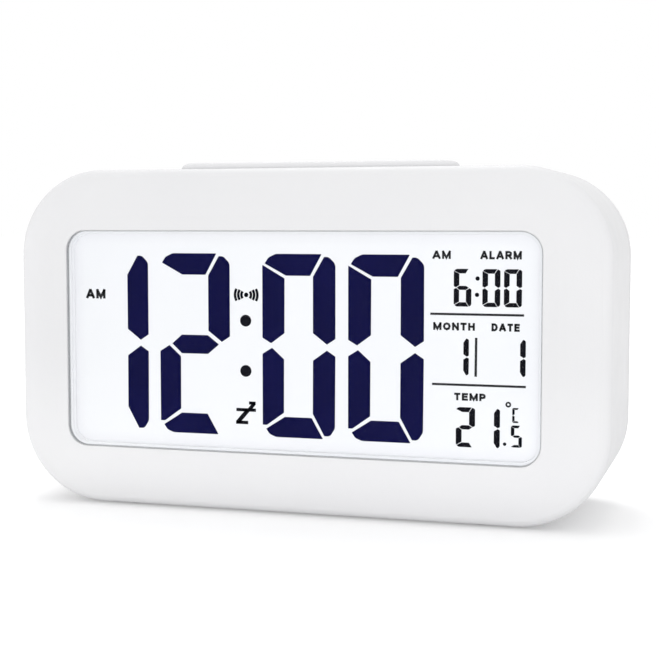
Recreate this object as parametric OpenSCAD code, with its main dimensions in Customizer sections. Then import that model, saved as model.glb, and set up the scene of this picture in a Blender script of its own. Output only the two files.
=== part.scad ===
// Bedside digital alarm clock: rounded upright case with a wide liquid crystal display,
// a long snooze bar on top, and keys, a slide switch and a battery bay on the back.
// Units are millimetres. X is to the right, Y is to the back, Z is up, and the clock
// stands on its four feet at Z = 0 with the display facing -Y.

/* [Case] */
// overall width of the case
body_w = 134; // [132:1:140]
// height of the case without feet and snooze bar
body_h = 75.4; // [75:0.1:80]
// depth of the case from display face to back
body_d = 45; // [45:0.5:50]
// corner radius of the case seen from the front
body_r = 19.5; // [18:0.5:20]
// wall thickness of both case halves
wall = 2.2; // [2:0.1:2.4]
// how far the soft front edge reaches in from the outline
edge_in = 10.5; // [9:0.5:11]
// how deep the soft front edge is
edge_deep = 6; // [5.5:0.5:6.5]

/* [Window] */
// width of the clear window
lens_w = 106.5; // [100:0.5:107]
// height of the clear window
lens_h = 48; // [46:0.5:48.5]
// corner radius of the window
lens_r = 4.4; // [3:0.1:6]
// gap between the window and its recess
lens_gap = 0.18; // [0.15:0.01:0.3]
// width of the ledge that the window is glued to
ledge = 0.6; // [0.5:0.1:1.2]

/* [Snooze bar] */
// length of the snooze bar
bar_l = 64.5; // [50:0.5:70]
// height of the snooze bar above the case
bar_proud = 1.6; // [1.4:0.1:2.4]
// travel of the snooze bar
bar_travel = 0.8; // [0.5:0.1:0.8]

/* [Keys] */
// length of a key cap
key_l = 10; // [8:0.5:11]
// height of a key cap
key_h = 5.6; // [5:0.1:6]
// distance between keys
key_pitch = 16; // [15:0.5:16.5]
// travel of a key
key_travel = 0.7; // [0.4:0.1:0.7]
// travel of the alarm slide
slide_travel = 3; // [2:0.5:3]

/* [Feet] */
// radius of a rubber foot
foot_r = 4; // [3:0.5:4]
// height of the feet below the case
foot_h = 0.3; // [0.3:0.1:0.8]

/* [Hidden] */
$fn = 64;
mid_z = foot_h + body_h / 2;   // height of the middle of the case
face_y = -body_d / 2;          // display face
rear_y = body_d / 2;           // back face
split_y = rear_y - 5;          // joint between the case halves
seam = 0.16;                   // half width and depth of the groove round the joint
back_t = 2.4;                  // back panel thickness
panel_y = rear_y - back_t;     // inside of the back panel
front_t = 2.5;                 // front wall thickness
cavity_r = body_r - wall;

// display stack, front to back
lens_y = face_y + 0.2;
lens_t = 0.8;
glass_t = 1.1;
film_t = 0.2;
gasket_y = face_y + front_t;
film_y = gasket_y + 0.4;
glass_y = film_y + film_t;
glass2_y = glass_y + glass_t;
film2_y = glass2_y + glass_t;
guide_y = film2_y + film_t;
guide_t = 2.6;
sheet_y = guide_y + guide_t;
tray_y = sheet_y + film_t;     // inside of the display tray floor
tray_t = 1.2;
board_y = tray_y + tray_t + 1; // front of the main board
board_t = 1.6;
board_back = board_y + board_t;
glass_w = 109;
glass_h = 51.6;
ito_h = 2.1;                   // contact strip along the lower edge of the front glass
strip_v = -glass_h / 2 + 0.9;  // height of the contact strip
screw_x = 47.5;                // main board screws
screw_v = 20;
ear_x = 40;                    // display tray screws
ear_v = 29.8;
ear_y = gasket_y + 3.5;

// snooze
bar_w = 15;
bar_y = -4.5;
crown_w = 1.5;                 // soft upper edge of the bar, across and down
crown_h = 1.2;
bar_top = foot_h + body_h + bar_proud;
wall_in = foot_h + body_h - wall;   // underside of the top wall
flange_gap = 0.15;
tact_y = board_back + 3;
tact_top = 67;
stem_top = 69.4;
bar_gap = 0.25;

// keys
key_v = 22;
key_x0 = 38;
key_gap = 0.25;
recess = 1.2;
key_face = rear_y - 0.2;
flange_y = panel_y - 0.2;      // outer face of the key flanges
stem_y = 17.6;                 // where key post and plunger meet
keyboard_y = 11.4;             // front of the key board
keyboard_t = 1.6;
tact_y0 = keyboard_y + keyboard_t;
tact_h = 3.5;
slide_x = -34;
boss_x = 47.6;                 // outermost key board boss
slide_cap = 5.6;

// battery bay
cell_r = 5.25;
cell_l = 44.5;
cell_pitch = 11.1;
cell_shift = 1.25;
bay_v = -12.1;
bay_w = 52;
bay_h = 35;
bay_y = rear_y - 12.9;         // bay floor
cell_y = bay_y + 0.3 + cell_r;
door_w = 56;
door_h = 38.6;
door_t = 1.8;
door_y = rear_y - door_t;
door_gap = 0.3;
door_roll = 0.5;               // rounding of the door's lower outer edge, its hinge line
hinge_z = mid_z + bay_v - door_h / 2 + door_roll;
tab_x = 15;

// case screws
post_x = 59;
post_v = 22.9;
post_end = 14;

// sounder
horn_x = -46;
horn_v = -6;

foot_x = 40;
foot_y = 12;

white = [0.95, 0.95, 0.96];
grey = [0.72, 0.73, 0.75];
clear = [0.80, 0.88, 0.92];
green = [0.10, 0.35, 0.20];
metal = [0.78, 0.78, 0.78];
dark = [0.12, 0.12, 0.13];

// ---- helpers: outlines are drawn flat, x right and v up, about the middle of the case

// stands a flat drawing up, so that its +Z faces the front of the clock
module stand() { translate([0, 0, mid_z]) rotate([90, 0, 0]) children(); }

// a plate with the drawn outline between two depths
module plate(y0, y1) { stand() translate([0, 0, -y1]) linear_extrude(y1 - y0) children(); }

// cuts half of the groove that runs round the joint of the case halves
module seam_cut(y0, y1) {
  plate(y0, y1) difference() {
    rrect(body_w + 2, body_h + 2, body_r + 1);
    rrect(body_w - 2 * seam, body_h - 2 * seam, body_r - seam);
  }
}

// a round rod along Y at x, v between two depths
module rod(x, v, r, y0, y1) {
  stand() translate([x, v, -y1]) cylinder(h = y1 - y0, r = r);
}

module rrect(w, h, r) {
  square([w - 2 * r, h], center = true);
  square([w, h - 2 * r], center = true);
  for (sx = [-1, 1], sy = [-1, 1])
    translate([sx * (w / 2 - r), sy * (h / 2 - r)]) circle(r);
}

module stadium(w, h) {
  square([w - h, h], center = true);
  for (s = [-1, 1]) translate([s * (w - h) / 2, 0]) circle(h / 2);
}

module square_up(w, h) { translate([-w / 2, 0]) square([w, h]); }

// quarter of a flattened oval, a wide and b high, made of two tangent arcs
module oval_edge(a, b, r2) {
  r1 = (pow(a - r2, 2) + b * b - r2 * r2) / (2 * (b - r2));
  intersection() {
    square([a, b]);
    union() {
      translate([a - r2, 0]) circle(r2);
      intersection() {
        translate([0, b - r1]) circle(r1, $fn = 128);
        polygon([[0, 0], [a - r2, 0],
                 [a - r2 + (a - r2) / (r1 - b) * b * 2, b * 2], [0, b * 2]]);
      }
    }
  }
}

// a rounded block whose top edge is eased a inward and b down, top at z = b
module eased_cap(w, h, r, a, b, r2) {
  for (sx = [-1, 1], sy = [-1, 1])
    translate([sx * (w / 2 - r), sy * (h / 2 - r), 0])
      rotate([0, 0, sx > 0 ? (sy > 0 ? 0 : 270) : (sy > 0 ? 90 : 180)])
        rotate_extrude(angle = 90) {
          square([r - a, b]);
          translate([r - a, 0]) oval_edge(a, b, r2);
        }
  rotate([90, 0, 90]) translate([0, 0, -(w / 2 - r)]) linear_extrude(w - 2 * r) {
    square_up(h - 2 * a, b);
    for (s = [0, 1]) mirror([s, 0]) translate([h / 2 - a, 0]) oval_edge(a, b, r2);
  }
  if (h > 2 * r)
    rotate([90, 0, 0]) translate([0, 0, -(h / 2 - r)]) linear_extrude(h - 2 * r) {
      square_up(w - 2 * a, b);
      for (s = [0, 1]) mirror([s, 0]) translate([w / 2 - a, 0]) oval_edge(a, b, r2);
    }
}

// the same with a plain quarter-round edge
module round_cap(w, h, r, a) {
  for (sx = [-1, 1], sy = [-1, 1])
    translate([sx * (w / 2 - r), sy * (h / 2 - r), 0])
      rotate([0, 0, sx > 0 ? (sy > 0 ? 0 : 270) : (sy > 0 ? 90 : 180)])
        rotate_extrude(angle = 90) {
          square([r - a, a]);
          translate([r - a, 0]) intersection() { square(a); circle(a); }
        }
  rotate([90, 0, 90]) translate([0, 0, -(w / 2 - r)]) linear_extrude(w - 2 * r) {
    square_up(h - 2 * a, a);
    for (s = [0, 1]) mirror([s, 0]) translate([h / 2 - a, 0]) intersection() { square(a); circle(a); }
  }
  if (h > 2 * r)
    rotate([90, 0, 0]) translate([0, 0, -(h / 2 - r)]) linear_extrude(h - 2 * r) {
      square_up(w - 2 * a, a);
      for (s = [0, 1]) mirror([s, 0]) translate([w / 2 - a, 0]) intersection() { square(a); circle(a); }
    }
}

// a bar with round ends and a crowned top of height c above its straight part t
module crowned_bar(l, w, t, a, b) {
  linear_extrude(t) stadium(l, w);
  translate([0, 0, t]) {
    for (s = [-1, 1]) translate([s * (l - w) / 2, 0, 0])
      rotate_extrude() { square([w / 2 - a, b]); translate([w / 2 - a, 0]) oval_edge(a, b, b * 0.7); }
    rotate([90, 0, 90]) translate([0, 0, -(l - w) / 2]) linear_extrude(l - w) {
      square_up(w - 2 * a, b);
      for (s = [0, 1]) mirror([s, 0]) translate([w / 2 - a, 0]) oval_edge(a, b, b * 0.7);
    }
  }
}

// ---- soft wires: a tube swept along a smooth curve through a few points

function unit(v) = v / norm(v);
function spline(p0, p1, p2, p3, t) =
  0.5 * ((2 * p1) + (p2 - p0) * t + (2 * p0 - 5 * p1 + 4 * p2 - p3) * t * t
         + (3 * p1 - p0 - 3 * p2 + p3) * t * t * t);
function smooth_path(p, n) = concat(
  [for (i = [0 : len(p) - 2], k = [0 : n - 1])
    spline(p[max(i - 1, 0)], p[i], p[i + 1], p[min(i + 2, len(p) - 1)], k / n)],
  [p[len(p) - 1]]);
function tangent(p, i) = unit(p[min(i + 1, len(p) - 1)] - p[max(i - 1, 0)]);

module tube(pts, ru, rv, up, n = 4, sides = 8) {
  p = smooth_path(pts, n);
  m = len(p);
  ring = [for (i = [0 : m - 1])
    let (t = tangent(p, i), u = unit(cross(t, up)), w = cross(u, t))
    for (k = [0 : sides - 1])
      p[i] + u * ru * cos(360 * (k + 0.5) / sides) + w * rv * sin(360 * (k + 0.5) / sides)];
  polyhedron(ring, concat(
    [[for (k = [0 : sides - 1]) k]],
    [for (i = [0 : m - 2], k = [0 : sides - 1])
      [i * sides + k, (i + 1) * sides + k,
       (i + 1) * sides + (k + 1) % sides, i * sides + (k + 1) % sides]],
    [[for (k = [sides - 1 : -1 : 0]) (m - 1) * sides + k]]));
}

// ---- case

module front_case() {
  color(white) difference() {
    union() {
      difference() {
        union() {
          plate(face_y + edge_deep, split_y) rrect(body_w, body_h, body_r);
          stand() translate([0, 0, -(face_y + edge_deep)])
            eased_cap(body_w, body_h, body_r, edge_in, edge_deep, 4);
        }
        plate(gasket_y + 4.5, split_y + 1)
          rrect(body_w - 2 * wall, body_h - 2 * wall, cavity_r);
        stand() translate([0, 0, -(gasket_y + 4.5)])
          eased_cap(body_w - 2 * wall, body_h - 2 * wall, cavity_r, edge_in - 1.2, 4.5, 3);
      }
      for (sx = [-1, 1], sv = [-1, 1]) {
        rod(sx * post_x, sv * post_v, 2.8, gasket_y - 0.3, post_end);
        rod(sx * ear_x, sv * ear_v, 2.5, gasket_y - 0.3, ear_y);
      }
    }
    plate(face_y - 1, lens_y + lens_t)
      rrect(lens_w + 2 * lens_gap, lens_h + 2 * lens_gap, lens_r + lens_gap);
    plate(face_y - 1, gasket_y + 1)
      rrect(lens_w - 2 * ledge, lens_h - 2 * ledge, lens_r - ledge);
    for (sx = [-1, 1], sv = [-1, 1]) {
      rod(sx * post_x, sv * post_v, 1.25, 2.5, post_end + 1);
      rod(sx * ear_x, sv * ear_v, 0.95, ear_y - 3, ear_y + 1);
    }
    translate([0, bar_y, wall_in - 1]) linear_extrude(wall + 2)
      stadium(bar_l + 2 * bar_gap, bar_w + 2 * bar_gap);
    seam_cut(split_y - seam, split_y + 1);
    for (sx = [-1, 1], sy = [-1, 1])
      translate([sx * foot_x, sy * foot_y, foot_h - 1]) cylinder(h = 1.4, r = foot_r);
  }
}

module rear_case() {
  color(white) difference() {
    union() {
      plate(panel_y, rear_y - 2) rrect(body_w, body_h, body_r);
      difference() {
        plate(split_y, panel_y) rrect(body_w, body_h, body_r);
        plate(split_y - 1, panel_y) rrect(body_w - 2 * wall, body_h - 2 * wall, cavity_r);
      }
      stand() translate([0, 0, -(rear_y - 2)]) mirror([0, 0, 1])
        round_cap(body_w, body_h, body_r, 2);
      difference() {
        plate(split_y - 3, panel_y)
          rrect(body_w - 2 * wall - 0.3, body_h - 2 * wall - 0.3, cavity_r - 0.15);
        plate(split_y - 4, panel_y)
          rrect(body_w - 2 * wall - 2.7, body_h - 2 * wall - 2.7, cavity_r - 1.35);
      }
      plate(bay_y - 1.6, panel_y) translate([0, bay_v])
        rrect(bay_w + 3.2, bay_h + 3.2, 1.5);
      plate(rear_y - 4.8, panel_y) translate([0, bay_v]) rrect(door_w + 4, door_h + 3.4, 2.5);
      for (sx = [-1, 1], sv = [-1, 1]) rod(sx * post_x, sv * post_v, 3.7, post_end, panel_y);
      for (x = [boss_x, -22, -46]) rod(x, key_v, 2.6, tact_y0, panel_y);
    }
    seam_cut(split_y - 1, split_y + seam);
    // battery bay, door recess and the two slots for the door tabs
    plate(bay_y, rear_y + 1) translate([0, bay_v]) square([bay_w, bay_h], center = true);
    plate(rear_y - 2, rear_y + 1) translate([0, bay_v])
      rrect(door_w + 2 * door_gap, door_h + 2 * door_gap, 0.8);
    for (s = [-1, 1]) {
      plate(rear_y - 4.9, panel_y)
        translate([s * tab_x - 3.4, bay_v - bay_h / 2 - 4]) square([6.8, 4.1]);
      plate(rear_y - 4.9, rear_y - 1)
        translate([s * tab_x - 3.4, bay_v - bay_h / 2 - 2.1]) square([6.8, 2.2]);
      for (k = [0, 1]) contact_slot(s, k);
    }
    // key recess, key holes and slide slot
    plate(rear_y - recess, rear_y + 1) translate([0, key_v]) rrect(100, 13, 4);
    for (i = [0 : 3])
      plate(panel_y - 1, rear_y) translate([key_x0 - i * key_pitch, key_v])
        stadium(key_l + 2 * key_gap, key_h + 2 * key_gap);
    plate(panel_y - 1, rear_y) translate([slide_x, key_v])
      square([slide_cap + slide_travel + 2 * key_gap, 4.1], center = true);
    for (x = [boss_x, -22, -46]) rod(x, key_v, 0.95, tact_y0 - 1, tact_y0 + 5);
    // case screw counterbores
    for (sx = [-1, 1], sv = [-1, 1]) {
      rod(sx * post_x, sv * post_v, 1.5, post_end - 1, rear_y);
      rod(sx * post_x, sv * post_v, 2.7, post_end + 2, rear_y + 1);
    }
    // sound holes and vents
    rod(horn_x, horn_v, 1.2, panel_y - 1, rear_y + 1);
    for (n = [0 : 7])
      rod(horn_x + 6 * cos(45 * n), horn_v + 6 * sin(45 * n), 1.2, panel_y - 1, rear_y + 1);
    for (n = [-2 : 2]) plate(panel_y - 1, rear_y + 1)
      translate([-horn_x, horn_v + n * 3.4]) stadium(14, 1.6);
  }
}

// where the contact tabs and springs' plates pass through the bay floor
module contact_slot(s, k) {
  v = s < 0 ? (k == 0 ? bay_v - cell_pitch : bay_v + cell_pitch / 2)
            : (k == 0 ? bay_v - cell_pitch / 2 : bay_v + cell_pitch);
  plate(bay_y - 2, bay_y + 1) translate([s * (bay_w / 2 - 0.3), v]) square([0.6, 3.2], center = true);
}

module case_screws() {
  color(metal) for (sx = [-1, 1], sv = [-1, 1]) difference() {
    union() {
      rod(sx * post_x, sv * post_v, 1.25, 5, post_end + 2);
      rod(sx * post_x, sv * post_v, 2.4, post_end + 2, post_end + 3.8);
    }
    cross_cut(sx * post_x, sv * post_v, post_end + 3.8, 2.6, 1);
  }
}

// cross recess cut into a screw head that faces +Y (dir 1) or -Y (dir -1)
module cross_cut(x, v, y, l, dir) {
  for (a = [0, 90])
    plate(dir > 0 ? y - 0.9 : y - 1, dir > 0 ? y + 1 : y + 0.9)
      translate([x, v]) rotate(a) square([l, 0.6], center = true);
}

module feet() {
  color(dark) for (sx = [-1, 1], sy = [-1, 1])
    translate([sx * foot_x, sy * foot_y, 0]) rotate_extrude()
      polygon([[0, 0], [foot_r - 0.3, 0], [foot_r, 0.3], [foot_r, foot_h + 0.4], [0, foot_h + 0.4]]);
}

// ---- window and display

module lens() {
  color(clear) plate(lens_y, lens_y + lens_t) rrect(lens_w, lens_h, lens_r);
}

module lcd_gasket() {
  color(dark) plate(gasket_y, film_y) difference() {
    rrect(glass_w, glass_h, 7);
    rrect(glass_w - 3, glass_h - 4.2, 4);
  }
}

module front_polarizer() {
  color(clear) plate(film_y, glass_y) square([glass_w - 1, glass_h - 1], center = true);
}

module lcd_glass_front() {
  color(clear) plate(glass_y, glass2_y) square([glass_w, glass_h], center = true);
}

module lcd_glass_rear() {
  color(clear) plate(glass2_y, film2_y) translate([0, ito_h / 2])
    square([glass_w, glass_h - ito_h], center = true);
}

module rear_polarizer() {
  color(clear) plate(film2_y, guide_y) translate([0, ito_h / 2])
    square([glass_w - 1, glass_h - ito_h - 1], center = true);
}

module light_guide() {
  color(clear) plate(guide_y, sheet_y) difference() {
    square([104, 46.2], center = true);
    for (s = [-1, 1], v = [-11, 11]) translate([s * 52.4, v]) square([1.6, 4], center = true);
  }
}

module reflector_sheet() {
  color(white) plate(sheet_y, tray_y) square([108.4, 46.2], center = true);
}

module backlight_leds() {
  color(white) for (s = [-1, 1], v = [-11, 11])
    plate(sheet_y - 2.2, sheet_y) translate([s * 52.7, v]) square([2, 3.4], center = true);
}

module lcd_tray() {
  color(white) difference() {
    union() {
      plate(film_y, tray_y + tray_t) rrect(111.4, 54.4, 1.5);
      for (sx = [-1, 1], sv = [-1, 1]) {
        plate(ear_y, ear_y + 1.5) translate([sx * ear_x, sv * (ear_v - 2)]) square([6, 4], center = true);
        rod(sx * ear_x, sv * ear_v, 3, ear_y, ear_y + 1.5);
        rod(sx * screw_x, sv * screw_v, 2.5, tray_y, board_y);
      }
    }
    plate(film_y - 1, guide_y) square([glass_w + 0.4, glass_h + 0.4], center = true);
    plate(guide_y - 0.5, tray_y) square([108.8, 46.6], center = true);
    plate(guide_y - 0.5, board_y + 1) translate([0, strip_v]) square([88.4, 1.8], center = true);
    for (sx = [-1, 1], sv = [-1, 1]) {
      rod(sx * ear_x, sv * ear_v, 1.1, ear_y - 1, ear_y + 2);
      rod(sx * screw_x, sv * screw_v, 0.95, tray_y - 1, board_y + 1);
    }
  }
}

module zebra_strip() {
  color(dark) plate(glass2_y, board_y) translate([0, strip_v]) square([88, 1.6], center = true);
}

module tray_screws() {
  color(metal) for (sx = [-1, 1], sv = [-1, 1])
    small_screw(sx * ear_x, sv * ear_v, ear_y + 1.5, -1, 4.2);
}

// an M2 screw whose head rests at depth y; dir -1 drives it toward the front
module small_screw(x, v, y, dir, l) {
  difference() {
    union() {
      rod(x, v, 0.95, dir < 0 ? y - l : y, dir < 0 ? y : y + l);
      rod(x, v, 1.8, dir < 0 ? y : y - 1.3, dir < 0 ? y + 1.3 : y);
    }
    cross_cut(x, v, dir < 0 ? y + 1.3 : y - 1.3, 2, dir < 0 ? 1 : -1);
  }
}

// ---- main board

module main_board() {
  color(green) plate(board_y, board_back) difference() {
    translate([0, 0.7]) square([104, 55.4], center = true);
    for (sx = [-1, 1], sv = [-1, 1]) translate([sx * screw_x, sv * screw_v]) circle(1.1);
  }
}

module board_screws() {
  color(metal) for (sx = [-1, 1], sv = [-1, 1])
    small_screw(sx * screw_x, sv * screw_v, board_back, -1, 3.4);
}

module chip_blob() {
  color(dark) stand() translate([-8, 2, -board_back]) mirror([0, 0, 1])
    rotate_extrude() intersection() {
      translate([0, -11.4]) circle(13.4, $fn = 256);
      square([7.5, 3]);
    }
}

module crystal_can() {
  color(metal) translate([14, board_back + 1.5, mid_z + 8]) rotate([0, 90, 0])
    cylinder(h = 8, r = 1.5);
}

module capacitors() {
  color(dark) for (x = [-34, -26]) rod(x, -14, 2.6, board_back, board_back + 6);
}

module thermistor() {
  color(dark) {
    rod(44, -6, 1.2, board_back + 5, board_back + 8);
    for (s = [-1, 1]) rod(44 + s * 0.7, -6, 0.25, board_back, board_back + 5);
  }
}

// ---- snooze

module snooze_bar() {
  color(white) translate([0, bar_y, 0]) {
    difference() {
      translate([0, 0, wall_in - flange_gap - 1.2])
        crowned_bar(bar_l, bar_w, bar_top - wall_in + flange_gap + 1.2 - crown_h, crown_w, crown_h);
      translate([0, 0, wall_in - flange_gap - 3]) linear_extrude(4.6)
        stadium(bar_l - 3, bar_w - 3);
    }
    difference() {
      translate([0, 0, wall_in - flange_gap - 1.2]) linear_extrude(1.2)
        stadium(bar_l + 2.4, bar_w + 2.4);
      translate([0, 0, wall_in - 3]) linear_extrude(5) stadium(bar_l - 3, bar_w - 3);
    }
    translate([0, tact_y - bar_y, stem_top]) cylinder(h = bar_top - stem_top - 1.6, r = 2);
    for (x = [-20, 20]) translate([x - 0.6, -bar_w / 2 + 1, wall_in - 1])
      cube([1.2, bar_w - 2, bar_top - wall_in - 0.2]);
  }
}

module snooze_switch() {
  color(dark) difference() {
    translate([-3.1, board_back, tact_top - 3.5]) cube([6.2, 6, 3.5]);
    translate([0, tact_y, tact_top - 2.5]) cylinder(h = 3, r = 1.85);
  }
}

module snooze_plunger() {
  color(white) translate([0, tact_y, tact_top - 1.4]) cylinder(h = stem_top - tact_top + 1.4, r = 1.7);
}

// ---- keys

module key_board() {
  color(green) plate(keyboard_y, tact_y0) difference() {
    translate([0, key_v]) square([100, 12.6], center = true);
    for (x = [boss_x, -22, -46]) translate([x, key_v]) circle(1.1);
  }
}

module key_board_screws() {
  color(metal) for (x = [boss_x, -22, -46]) small_screw(x, key_v, keyboard_y, 1, 5.6);
}

module key_switches() {
  color(dark) for (i = [0 : 3]) difference() {
    plate(tact_y0, tact_y0 + tact_h) translate([key_x0 - i * key_pitch, key_v]) square(6.2, center = true);
    rod(key_x0 - i * key_pitch, key_v, 1.85, tact_y0 + 1.2, tact_y0 + tact_h + 1);
  }
}

module key_cap(i) {
  x = key_x0 - i * key_pitch;
  color(grey) {
    translate([x, flange_y, mid_z + key_v]) rotate([-90, 0, 0])
      crowned_bar(key_l, key_h, key_face - flange_y - 0.5, 1.4, 0.5);
    plate(flange_y - 1, flange_y) translate([x, key_v]) stadium(key_l + 2.4, key_h + 2.4);
    rod(x, key_v, 1.7, stem_y, flange_y - 1);
  }
}

module key_stem(i) {
  color(white) rod(key_x0 - i * key_pitch, key_v, 1.7, tact_y0 + tact_h - 1, stem_y);
}

module slide_switch() {
  color(metal) difference() {
    plate(tact_y0, tact_y0 + 3.6) translate([slide_x, key_v]) square([11, 5.4], center = true);
    plate(tact_y0 + 1.4, tact_y0 + 5) translate([slide_x, key_v])
      square([2 + slide_travel + 0.5, 2.5], center = true);
  }
}

module alarm_slide() {
  color(grey) {
    x = slide_x - slide_travel / 2;
    plate(tact_y0 + 1.8, 18.8) translate([x, key_v]) square(2, center = true);
    plate(18.8, flange_y) translate([x, key_v]) square([slide_cap + 6.6, 6.6], center = true);
    difference() {
      plate(flange_y, key_face - 0.1) translate([x, key_v]) square([slide_cap, 3.6], center = true);
      for (n = [-1 : 1]) plate(key_face - 0.5, key_face + 1)
        translate([x + n * 1.4, key_v]) square([0.5, 4], center = true);
    }
  }
}

// ---- battery bay

module battery_door() {
  color(white) difference() {
    union() {
      difference() {
        plate(door_y, rear_y) translate([0, bay_v]) rrect(door_w, door_h, 1);
        translate([-door_w, rear_y - door_roll, hinge_z - 3]) cube([2 * door_w, 3, 3]);
      }
      translate([-door_w / 2 + 0.6, rear_y - door_roll, hinge_z]) rotate([0, 90, 0])
        cylinder(h = door_w - 1.2, r = door_roll);
      for (s = [-1, 1]) {
        plate(rear_y - 3.9, rear_y - 2.7) translate([s * tab_x - 3, bay_v - bay_h / 2 - 3.6]) square([6, 3.4]);
        plate(rear_y - 3.9, door_y + 0.5) translate([s * tab_x - 3, bay_v - bay_h / 2 - 1.8]) square([6, 1.6]);
      }
    }
    // slits that free the latch tongue, and its finger hollow
    for (s = [-1, 1]) plate(door_y - 1, rear_y + 1)
      translate([s * 6.5, bay_v + door_h / 2 - 4]) square([1, 9], center = true);
    stand() translate([0, bay_v + door_h / 2 - 4.5, -rear_y - 9.2]) sphere(r = 10);
    // pressing arrow and grip grooves
    plate(rear_y - 0.3, rear_y + 1) translate([0, bay_v + door_h / 2 - 12])
      polygon([[-2.2, 1.3], [2.2, 1.3], [0, -1.5]]);
    for (n = [0 : 2]) plate(rear_y - 0.3, rear_y + 1)
      translate([0, bay_v - door_h / 2 + 5 + n * 2]) square([14, 0.6], center = true);
  }
}

module cell(i) {
  s = i == 1 ? -1 : 1;
  color(metal)
    translate([s * cell_shift, cell_y, mid_z + bay_v + (i - 1) * cell_pitch])
      rotate([0, s * 90, 0]) translate([0, 0, -cell_l / 2]) rotate_extrude() polygon([
        [0, 0], [3.4, 0], [3.4, 0.25], [cell_r - 0.6, 0.25], [cell_r, 0.8],
        [cell_r, cell_l - 1.9], [cell_r - 0.7, cell_l - 1.1], [1.9, cell_l - 1.1],
        [1.9, cell_l - 0.2], [1.7, cell_l], [0, cell_l]]);
}

// side s and height of each cell's negative end
function minus_side(i) = i == 1 ? 1 : -1;
function cell_v(i) = bay_v + (i - 1) * cell_pitch;

module battery_springs() {
  color(metal) for (i = [0 : 2]) {
    s = minus_side(i);
    translate([s * (bay_w / 2 - 0.5), cell_y, mid_z + cell_v(i)]) rotate([0, -s * 90, 0])
      rotate_extrude() polygon([[3.1, 0], [3.7, 0], [2.7, 4.5], [2.1, 4.5]]);
  }
}

// the nub of each positive end presses on a dimple
module dimple(i) {
  s = -minus_side(i);
  translate([s * (bay_w / 2 - 0.5), cell_y, mid_z + cell_v(i)]) rotate([0, -s * 90, 0])
    rotate_extrude() polygon([[0, 0], [3, 0], [2, 2], [0, 2]]);
}

module contact_plate(s, v0, v1) {
  translate([s * (bay_w / 2 - 0.25) - 0.25, bay_y + 0.8, mid_z + v0]) cube([0.5, 9.2, v1 - v0]);
}

module contact_tab(s, v) {
  translate([s * (bay_w / 2 - 0.25) - 0.25, bay_y - 3.5, mid_z + v - 1.4]) cube([0.5, 5, 2.8]);
}

module contact_links() {
  color(metal) {
    contact_plate(-1, cell_v(1) - 4, cell_v(2) + 4);
    contact_tab(-1, bay_v + cell_pitch / 2);
    dimple(1);
    contact_plate(1, cell_v(0) - 4, cell_v(1) + 4);
    contact_tab(1, bay_v - cell_pitch / 2);
    dimple(0);
  }
}

module contact_ends() {
  color(metal) {
    contact_plate(-1, cell_v(0) - 4, cell_v(0) + 4);
    contact_tab(-1, bay_v - cell_pitch);
    contact_plate(1, cell_v(2) - 4, cell_v(2) + 4);
    contact_tab(1, bay_v + cell_pitch);
    dimple(2);
  }
}

// ---- sounder

module buzzer_case() {
  color(dark) difference() {
    rod(horn_x, horn_v, 12, panel_y - 5, panel_y);
    rod(horn_x, horn_v, 10.8, panel_y - 6, panel_y - 2.4);
    rod(horn_x, horn_v, 8.5, panel_y - 6, panel_y + 1);
  }
}

module piezo_disc() {
  color([0.85, 0.7, 0.35]) {
    rod(horn_x, horn_v, 10.8, panel_y - 2.8, panel_y - 2.4);
    rod(horn_x, horn_v, 7, panel_y - 3.1, panel_y - 2.8);
  }
}

// ---- wires

module battery_leads() {
  color([0.7, 0.1, 0.1]) {
    lead([-bay_w / 2 + 1.2, bay_y - 3, mid_z + bay_v - cell_pitch], [-44, board_back, mid_z - 24]);
    lead([bay_w / 2 - 1.2, bay_y - 3, mid_z + bay_v + cell_pitch], [36, board_back, mid_z - 4]);
  }
}

// one lead from a solder tab a to a board pad b
module lead(a, b) {
  tube([a, [a[0] + (b[0] - a[0]) * 0.1, a[1] - 4, a[2]], [(a[0] + b[0]) / 2, (a[1] + b[1]) / 2 - 1, (a[2] + b[2]) / 2 - 2],
        [b[0], b[1] + 4, b[2]], b + [0, 0.15, 0]], 0.6, 0.6, [0, 0, 1]);
}

module buzzer_leads() {
  color(dark) for (s = [0, 1])
    tube([[horn_x - 2 + 4 * s, panel_y - 3.3, mid_z + horn_v + 2], [horn_x - 2 + 3 * s, panel_y - 7, mid_z + horn_v + 1],
          [horn_x - 1 + 3 * s, 0, mid_z - 2], [horn_x + 1 + 3 * s, board_back + 4, mid_z + 2],
          [horn_x + 1 + 3 * s, board_back + 0.15, mid_z + 2]], 0.5, 0.5, [0, 0, 1]);
}

module key_ribbon() {
  color(grey) tube([[30, keyboard_y, mid_z + 19], [30, keyboard_y - 4, mid_z + 19], [30, 0, mid_z + 16],
                    [30, board_back + 4, mid_z + 14], [30, board_back, mid_z + 14]],
                   4, 0.5, [0, 0, 1], 4, 4);
}

front_case();
rear_case();
case_screws();
feet();
lens();
lcd_gasket();
front_polarizer();
lcd_glass_front();
lcd_glass_rear();
rear_polarizer();
light_guide();
reflector_sheet();
backlight_leds();
lcd_tray();
zebra_strip();
tray_screws();
main_board();
board_screws();
chip_blob();
crystal_can();
capacitors();
thermistor();
snooze_bar();
snooze_switch();
snooze_plunger();
key_board();
key_board_screws();
key_switches();
key_cap(0);  // mode_key
key_cap(1);  // set_key
key_cap(2);  // up_key
key_cap(3);  // down_key
key_stem(0);  // mode_stem
key_stem(1);  // set_stem
key_stem(2);  // up_stem
key_stem(3);  // down_stem
slide_switch();
alarm_slide();
battery_door();
cell(0);  // battery_1
cell(1);  // battery_2
cell(2);  // battery_3
battery_springs();
contact_links();
contact_ends();
buzzer_case();
piezo_disc();
battery_leads();
buzzer_leads();
key_ribbon();
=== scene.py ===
"""Looks of the digital alarm clock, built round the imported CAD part."""
import math

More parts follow.
